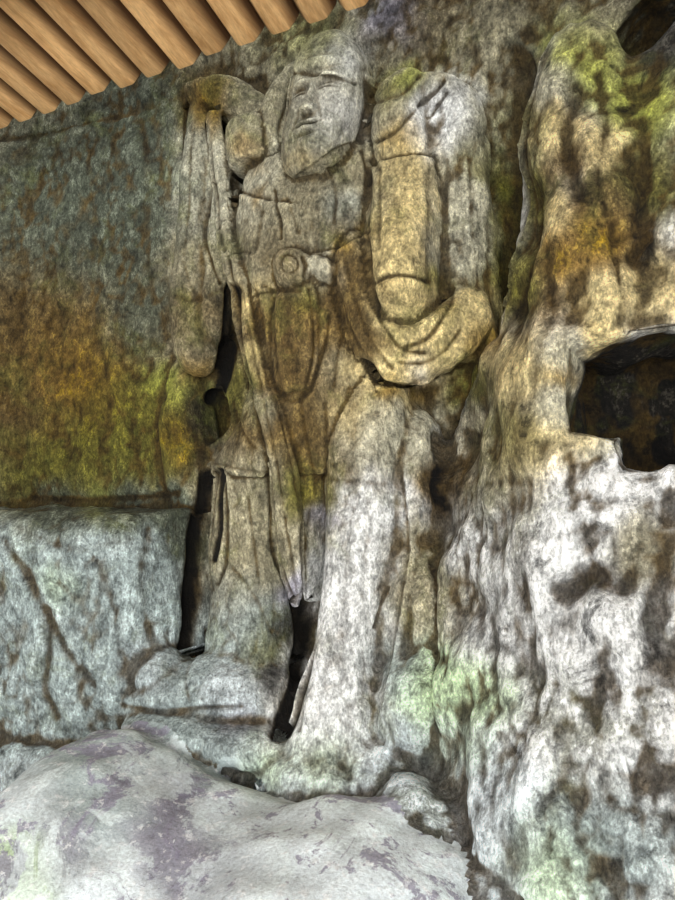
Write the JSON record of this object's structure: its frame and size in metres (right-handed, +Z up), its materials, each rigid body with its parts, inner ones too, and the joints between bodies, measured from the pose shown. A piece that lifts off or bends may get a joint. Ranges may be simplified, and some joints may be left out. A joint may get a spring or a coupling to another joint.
{
  "type": "rock-cut wayside shrine with timber shelter",
  "caption": "Guardian figure carved in high relief in a cliff alcove, with rock ledge, offering niche and foot boulder, under an open timber shelter with a slatted roof.",
  "frame": {"origin": "on the ground below the middle of the figure, in the plane of the alcove wall, on the underside of the base rock", "axes": "+X along the cliff to the viewer's right, +Y into the cliff, +Z up; the figure faces -Y"},
  "size_m": [3.57, 3.9635, 3.3486],
  "materials": {
    "cliff_rock": "matte",
    "boulder_rock": "matte",
    "carved_rock": "matte",
    "post_stone": "matte",
    "slat_timber": "satin",
    "post_timber": "satin",
    "roof_covering": "matte"
  },
  "bodies": {
    "root": {"base_rock": "cliff_rock", "back_wall": "cliff_rock", "left_wall": "cliff_rock", "right_wall": "cliff_rock", "left_ledge": "cliff_rock", "right_buttress": "cliff_rock", "crown_rock": "cliff_rock", "foot_boulder": "boulder_rock", "head": "carved_rock", "hood": "carved_rock", "shoulder_guard": "carved_rock", "chest": "carved_rock", "raised_hand": "carved_rock", "raised_sleeve": "carved_rock", "sleeve_loop": "carved_rock", "hanging_sleeve": "carved_rock", "belt_knot": "carved_rock", "apron": "carved_rock", "stole": "carved_rock", "tunic": "carved_rock", "left_leg": "carved_rock", "left_boot": "carved_rock", "right_leg": "carved_rock", "right_foot": "carved_rock", "stone_front_left": "post_stone", "stone_front_right": "post_stone", "stone_rear_left": "post_stone", "stone_rear_right": "post_stone", "post_front_left": "post_timber", "post_front_right": "post_timber", "post_rear_left": "post_timber", "post_rear_right": "post_timber", "purlin_front": "post_timber", "purlin_rear": "post_timber", "tie_left": "post_timber", "tie_right": "post_timber", "king_posts": "post_timber", "ridge_beam": "post_timber", "slats_front": "slat_timber", "slats_rear": "slat_timber", "verge_left": "slat_timber", "verge_right": "slat_timber", "cover_front": "roof_covering", "cover_rear": "roof_covering", "ridge_cap": "roof_covering"}
  },
  "joints": []
}
